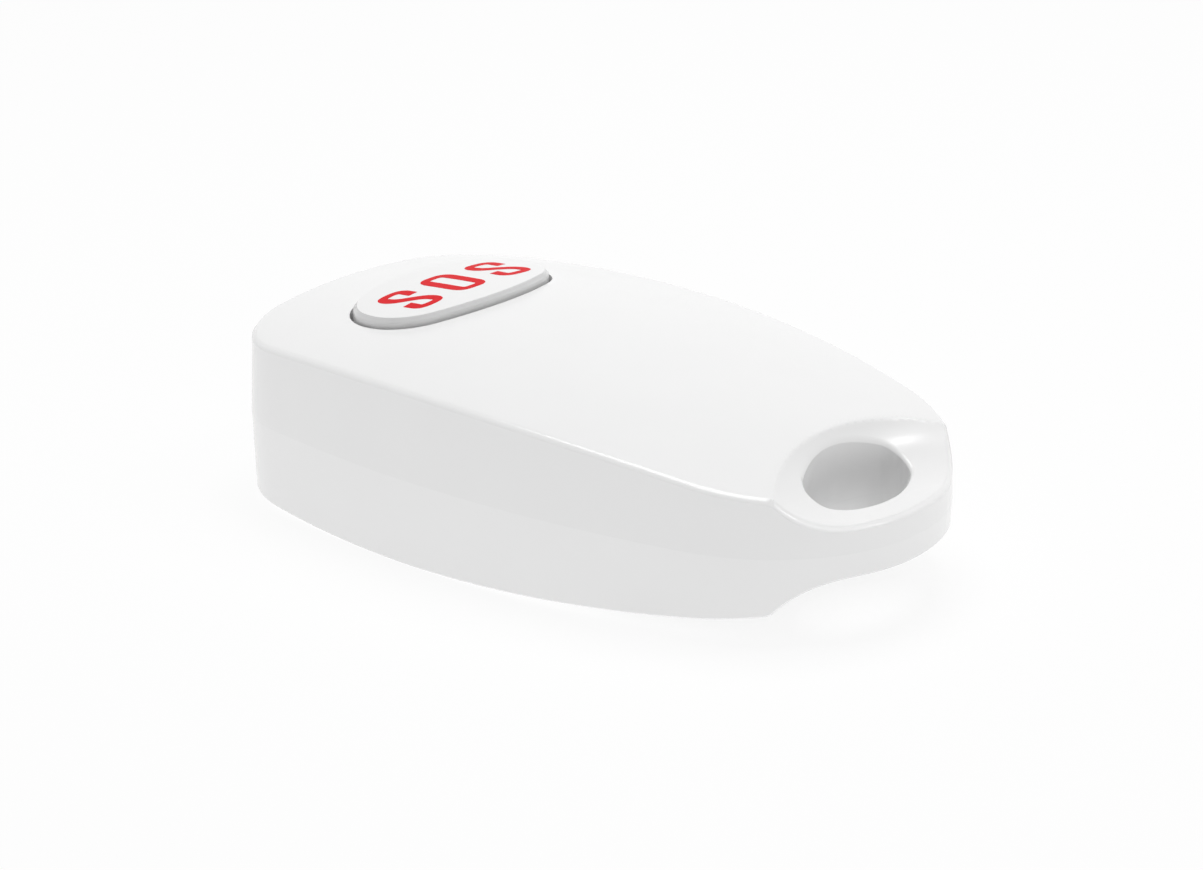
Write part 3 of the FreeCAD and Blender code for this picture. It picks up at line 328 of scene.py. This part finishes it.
def crownAt(form, lift, side):
    # the crown or the belly: how far a point is off it, and which way it faces there
    def ask(x, y, z):
        if side > 0:
            along, across = form["crownLong"], form["crownAcross"]
            drop = math.sqrt(along ** 2 - (y - form["crownAhead"]) ** 2)
            bow = math.sqrt(across ** 2 - x ** 2)
            off = z - (form["crownTop"] + lift - along + drop - across + bow)
            return abs(off), Vector((x / bow, (y - form["crownAhead"]) / drop, 1)).normalized()
        run = math.sqrt(form["bellyRound"] ** 2 - (y - form["bellyAhead"]) ** 2)
        off = z + form["bellyDrop"] - form["bellyRound"] + run
        return abs(off), Vector((0, (y - form["bellyAhead"]) / run, -1)).normalized()
    return ask


def wallAt(centre, radius, form, side):
    draft = math.radians(form["draft"])

    def ask(x, y, z):
        out = Vector((x - centre[0], y - centre[1], 0))
        off = out.length - (radius - abs(z) * math.tan(draft))
        out.normalize()
        level = math.cos(draft)
        return abs(off), Vector((out.x * level, out.y * level, side * math.sin(draft)))
    return ask


def scoopAt(form, side):
    def ask(x, y, z):
        out = Vector((x, y - form["scoopAxis"], 0))
        reach = out.length
        out.normalize()
        inward = Vector((form["scoopFoot"] - reach, form["lug"] + form["scoopRound"] - side * z, 0))
        off = inward.length - form["scoopRound"]
        inward.normalize()
        return abs(off), Vector((out.x * inward.x, out.y * inward.x, side * inward.y))
    return ask


def lugAt(form, side):
    def ask(x, y, z):
        return abs(side * z - form["lug"]), Vector((0, 0, side))
    return ask


def uprightAt(centre, radius, way):
    def ask(x, y, z):
        out = Vector((x - centre[0], y - centre[1], 0))
        off = out.length - radius
        return abs(off), out.normalized() * way
    return ask


def surfacesOf(name, settings):
    side, lift = settings["side"], settings["lift"]
    found = [(crownAt(caseForm, lift, side), closeness["crown"])]
    near = closeness["surface"]
    if name == "keyCap":
        return found + [(uprightAt(*arc, 1), near) for arc in ovalArcs(ovals["key"])]
    found += [(wallAt(*arc, caseForm, side), near) for arc in caseArcs(caseForm)]
    found += [(scoopAt(caseForm, side), near), (lugAt(caseForm, side), near)]
    found += [(uprightAt(*arc, -1), near) for arc in ovalArcs(ovals["hole"])]
    if name == "caseTop":
        found += [(uprightAt(*arc, -1), near) for arc in ovalArcs(ovals["opening"])]
    return found


def trueFacing(mesh, surfaces):
    # for each face, the facing at each of its corners, or None where no surface holds it
    places = [(v.co.x / mm, v.co.y / mm, (v.co.z - partingHeight) / mm) for v in mesh.vertices]
    answers = {}
    for face in mesh.polygons:
        best = None
        for ask, near in surfaces:
            told = [ask(*places[v]) for v in face.vertices]
            worst = max(off for off, facing in told)
            alike = min(facing.dot(face.normal) for off, facing in told)
            if worst > near or alike < closeness["facing"]:
                continue
            if best is None or worst / near < best[0]:
                best = (worst / near, [facing for off, facing in told])
        answers[face.index] = best and best[1]
    return answers


def rimFacing(facing, settings):
    # a break between a wall and the crown is shaded as the wall, turned up a little
    if abs(facing.z) > closeness["round"]:
        return facing
    return (facing + Vector((0, 0, settings["side"] * settings["rimTurn"]))).normalized()


def keyRimFacing(v, surfaces, settings):
    # the key's rim is crisp, so its small round is shaded as part of the side
    place = (v.co.x / mm, v.co.y / mm, 0)
    told = min((ask(*place) for ask, near in surfaces[1:]), key=lambda one: one[0])
    return rimFacing(told[1], settings)


def shadeTrue(piece, surfaces, settings):
    mesh = piece.data
    known = trueFacing(mesh, surfaces)
    rimFoot = max(v.co.z for v in mesh.vertices) - closeness["keyRim"] * mm
    aroundKnown = [[] for v in mesh.vertices]
    aroundLoose = [[] for v in mesh.vertices]
    for face in mesh.polygons:
        for corner, v in enumerate(face.vertices):
            if known[face.index]:
                aroundKnown[v].append(known[face.index][corner])
            else:
                aroundLoose[v].append((face.normal, face.area))
    facings = []
    for face in mesh.polygons:
        crisp = settings["slot"] == "key" and face.center.z > rimFoot and face.normal.z > 0
        for corner, v in enumerate(face.vertices):
            if known[face.index]:
                facings.append(known[face.index][corner])
                continue
            if crisp:
                facings.append(keyRimFacing(mesh.vertices[v], surfaces, settings))
                continue
            near = [one for one in aroundKnown[v] if one.dot(face.normal) > closeness["round"]]
            if near:
                closest = max(near, key=lambda one: one.dot(face.normal))
                facings.append(rimFacing(closest, settings))
                continue
            total = Vector((0, 0, 0))
            for facing, area in aroundLoose[v]:
                if facing.dot(face.normal) > closeness["facing"]:
                    total += facing * area
            facings.append(total.normalized() if total.length else face.normal.copy())
    mesh.normals_split_custom_set(facings)
    return sum(1 for face in mesh.polygons if known[face.index])


def dressSkin(name, settings):
    piece = bpy.data.objects.new(name, nodes[settings["node"]].data.copy())
    bpy.context.scene.collection.objects.link(piece)
    makeActive(piece)
    bpy.ops.object.mode_set(mode="EDIT")
    bpy.ops.mesh.select_all(action="SELECT")
    bpy.ops.mesh.remove_doubles(threshold=closeness["merge"] * mm)
    bpy.ops.object.mode_set(mode="OBJECT")
    bpy.ops.object.shade_smooth()
    held = shadeTrue(piece, surfacesOf(name, settings), settings)
    print("skin", name, "faces", len(piece.data.polygons), "on a true surface", held)
    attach(piece, settings["body"])
    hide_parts(settings["node"])


for name, settings in skins.items():
    dressSkin(name, settings)


# The signal on the key: narrow block letters with stems wider than bars, a thin red film

# lengths in mm, and for each letter its form, its middle across the key and its width
keyPrint = {
    "height": 5.05,
    "stem": 1.04,
    "bar": 0.65,
    "bend": 0.95,         # how far from a corner its rounding starts
    "bendSteps": 8,
    "ahead": 17.0,
    "lean": -0.06,        # sideways for each mm of height
    "film": 0.012,        # from the key's face to the film's
    "depth": 0.04,
    "longestStep": 0.5,
    "smoothUnder": 30,
    "shade": (214, 36, 42),
    "paleShade": (220, 42, 48),
    "gloss": 0.03,
    "patch": 3.0,
    "roughness": 0.46,
    "spread": 0.08,
    "letters": [("S", -5.15, 3.3), ("O", -0.1, 3.55), ("S", 5.3, 3.6)],
}
# the corners of each letter's line, in halves of its width and height, and whether it is closed
letterRuns = {
    "S": ([(1, 0.32), (1, 1), (-1, 1), (-1, 0.42),
           (1, -0.42), (1, -1), (-1, -1), (-1, -0.32)], False),
    "O": ([(1, 1), (-1, 1), (-1, -1), (1, -1)], True),
}


def makePrintRed(look):
    made, shader, wire = newMaterial("printRed", {"Specular IOR Level": look["gloss"]})
    patches = mottled(wire, look["patch"])
    colour = tinted(wire, patches, linear(*look["shade"]), linear(*look["paleShade"]))
    feed(colour, shader, "Base Color")
    feed(spreadAbout(patches, look["roughness"], look["spread"]), shader, "Roughness")
    return made


def roundedRun(corners, closed, bend, steps):
    # the middle line of a stroke, with its corners rounded
    count, points = len(corners), []
    for i, corner in enumerate(corners):
        if not closed and i in (0, count - 1):
            points.append(corner)
            continue
        before, after = corners[i - 1], corners[(i + 1) % count]
        start = corner + (before - corner).normalized() * min(bend, (before - corner).length / 2)
        end = corner + (after - corner).normalized() * min(bend, (after - corner).length / 2)
        for step in range(steps + 1):
            t = step / steps
            points.append(start.lerp(corner, t).lerp(corner.lerp(end, t), t))
    return points


def subdivided(points, closed, longest):
    # no step of the line is longer than this, so that the film can follow the key's face
    found = []
    pairs = zip(points, points[1:] + points[:1]) if closed else zip(points, points[1:])
    for start, end in pairs:
        steps = max(1, math.ceil((end - start).length / longest))
        found += [start.lerp(end, step / steps) for step in range(steps)]
    return found if closed else found + [points[-1]]


def strokeStrip(mesh, points, closed, stem, bar):
    # a flat band along the line, as wide as a stem where it runs up and as a bar where across
    count = len(points)
    rows = []
    for i, point in enumerate(points):
        before = points[i - 1] if closed or i else point
        after = points[(i + 1) % count] if closed or i < count - 1 else point
        run = (after - before).normalized()
        width = math.hypot(stem * run.y, bar * run.x)
        sideways = Vector((-run.y, run.x)) * (width / 2)
        rows.append([mesh.verts.new((place.x, place.y, 0))
                     for place in (point + sideways, point, point - sideways)])
    for i in range(count if closed else count - 1):
        near, far = rows[i], rows[(i + 1) % count]
        for k in range(2):
            mesh.faces.new((near[k], near[k + 1], far[k + 1], far[k]))


def printLetters(look):
    mesh = bmesh.new()
    for letter, across, width in look["letters"]:
        corners, closed = letterRuns[letter]
        halfWide = (width - look["stem"]) / 2
        halfHigh = (look["height"] - look["bar"]) / 2
        middle = [Vector((across + x * halfWide + y * halfHigh * look["lean"],
                          look["ahead"] + y * halfHigh)) for x, y in corners]
        line = roundedRun(middle, closed, look["bend"], look["bendSteps"])
        line = subdivided(line, closed, look["longestStep"])
        strokeStrip(mesh, line, closed, look["stem"], look["bar"])
    face = crownAt(caseForm, skins["keyCap"]["lift"] + look["film"], 1)
    for v in mesh.verts:
        above = face(v.co.x, v.co.y, 0)[0]
        v.co = Vector((v.co.x * mm, v.co.y * mm, partingHeight + above * mm))
    data = bpy.data.meshes.new("keyPrint")
    bmesh.ops.recalc_face_normals(mesh, faces=mesh.faces)
    mesh.to_mesh(data)
    mesh.free()
    letters = bpy.data.objects.new("keyPrint", data)
    bpy.context.scene.collection.objects.link(letters)
    makeActive(letters)
    film = letters.modifiers.new("film", "SOLIDIFY")
    film.thickness = look["depth"] * mm
    film.offset = -1
    bpy.ops.object.modifier_apply(modifier=film.name)
    bpy.ops.object.shade_smooth_by_angle(angle=math.radians(look["smoothUnder"]))
    data.materials.append(makePrintRed(look))
    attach(letters, "button")
    return letters


letters = printLetters(keyPrint)
print("print on the key, mm:", [round(v / mm, 2) for v in letters.dimensions])


# Camera, floor and light

# fitted to the picture: angles in degrees, distance and height in mm, the focal length and the
# middle of the view in pixels
view = {
    "azimuth": -49.33,
    "elevation": 20.85,
    "distance": 300.0,
    "centreHeight": 7.28,
    "focalPixels": 3768.6,
    "acrossPixels": 10.52,
    "downPixels": 5.94,
    "pictureWidth": 1203,
    "sensor": 36.0,
    "clipStart": 0.01,
}


def placeCamera(look):
    azimuth, elevation = math.radians(look["azimuth"]), math.radians(look["elevation"])
    back = Vector((math.sin(azimuth) * math.cos(elevation),
                   -math.cos(azimuth) * math.cos(elevation),
                   math.sin(elevation)))
    data = bpy.data.cameras.new("pictureCamera")
    data.sensor_width = look["sensor"]
    data.lens = look["focalPixels"] / look["pictureWidth"] * look["sensor"]
    data.shift_x = -look["acrossPixels"] / look["pictureWidth"]
    data.shift_y = look["downPixels"] / look["pictureWidth"]
    data.clip_start = look["clipStart"]
    camera = bpy.data.objects.new("pictureCamera", data)
    camera.location = Vector((0, 0, look["centreHeight"] * mm)) + back * (look["distance"] * mm)
    camera.rotation_euler = back.to_track_quat("Z", "Y").to_euler()
    bpy.context.scene.collection.objects.link(camera)
    bpy.context.scene.camera = camera


# seen directly, sky and floor are white. What they shed on the fob is set apart from that, and
# the floor sheds none from an oval under the fob. Lamps are in metres and watts
studio = {
    "floorHalf": 2.5,            # m
    "floorDrop": 0.02,           # mm
    "floorShade": (0.9, 0.9, 0.9, 1.0),
    "shadeHalf": (12.0, 31.0),   # half of the oval's width and length, mm
    "shadeFade": 0.25,
    "skyStrength": 0.34,
    "floorGlow": 1.42,
    "floorShare": 0.88,          # the rest of the floor takes the shadow
    "aimHeight": 8.0,            # mm
    "lamps": {
        "topPanel": {"place": (0.05, 0.05, 0.46), "size": 0.3, "watts": 1.36},
        "frontPanel": {"place": (0.14, -0.24, 0.4), "size": 0.25, "watts": 0.25},
        "glintPanel": {"place": (0.225, -0.22, 0.375), "size": 0.05, "watts": 0.09},
    },
}


def seenDirectly(wire):
    # 1 for what the camera, a reflection or a clear piece sees
    rays = ("Is Camera Ray", "Is Glossy Ray", "Is Transmission Ray")
    camera, glossy, through = [wire.node("ShaderNodeLightPath", out=name) for name in rays]
    return (camera + glossy + through).clipped()


def shining(wire, kind, strength):
    return wire.node(kind, None, {"Color": (1, 1, 1, 1), "Strength": strength})


def mixedShader(wire, factor, first, second):
    return wire.node("ShaderNodeMixShader", None, {0: factor, 1: first, 2: second})


def makeFloor(look):
    deselectAll()
    bpy.ops.mesh.primitive_plane_add(size=2 * look["floorHalf"],
                                     location=(0, 0, -look["floorDrop"] * mm))
    floor = bpy.context.object
    floor.name = "floor"
    material = bpy.data.materials.new("paleFloor")
    material.use_nodes = True
    tree = material.node_tree
    tree.nodes.remove(tree.nodes["Principled BSDF"])
    wire = Wire(tree)
    pale = wire.node("ShaderNodeBsdfDiffuse", None, {"Color": look["floorShade"]})
    seen = seenDirectly(wire)
    place = wire.node("ShaderNodeTexCoord", out="Object")
    narrow, long = look["shadeHalf"]
    oval = wire.node("ShaderNodeMapping", None,
                     {"Vector": place, "Scale": (1 / (narrow * mm), 1 / (long * mm), 1)})
    away = wire.node("ShaderNodeVectorMath", {"operation": "LENGTH"}, {0: oval}, out="Value")
    beyond = ((away - 1) / look["shadeFade"]).clipped()
    glow = mixedShader(wire, seen, shining(wire, "ShaderNodeEmission", look["floorGlow"]),
                       shining(wire, "ShaderNodeEmission", 1.0))
    share = (seen + (1 - seen) * beyond) * look["floorShare"]
    above = mixedShader(wire, share, pale, glow)
    # clear from below, so that the underside can be looked at
    below = wire.node("ShaderNodeNewGeometry", out="Backfacing")
    mixed = mixedShader(wire, below, above, wire.node("ShaderNodeBsdfTransparent"))
    tree.links.new(mixed.socket, tree.nodes["Material Output"].inputs["Surface"])
    floor.data.materials.append(material)


def makeSky(look):
    sky = bpy.data.worlds.new("paleSky")
    bpy.context.scene.world = sky
    sky.use_nodes = True
    tree = sky.node_tree
    tree.nodes.remove(tree.nodes["Background"])
    wire = Wire(tree)
    mixed = mixedShader(wire, seenDirectly(wire),
                        shining(wire, "ShaderNodeBackground", look["skyStrength"]),
                        shining(wire, "ShaderNodeBackground", 1.0))
    tree.links.new(mixed.socket, tree.nodes["World Output"].inputs["Surface"])


def placeLamps(look):
    target = Vector((0, 0, look["aimHeight"] * mm))
    for name, lamp in look["lamps"].items():
        data = bpy.data.lights.new(name, "AREA")
        data.shape = "SQUARE"
        data.size = lamp["size"]
        data.energy = lamp["watts"]
        made = bpy.data.objects.new(name, data)
        made.location = lamp["place"]
        made.rotation_euler = (made.location - target).to_track_quat("Z", "Y").to_euler()
        bpy.context.scene.collection.objects.link(made)


placeCamera(view)
makeFloor(studio)
makeSky(studio)
placeLamps(studio)
bpy.context.scene.view_settings.view_transform = "Standard"
print("camera, floor and light in place")
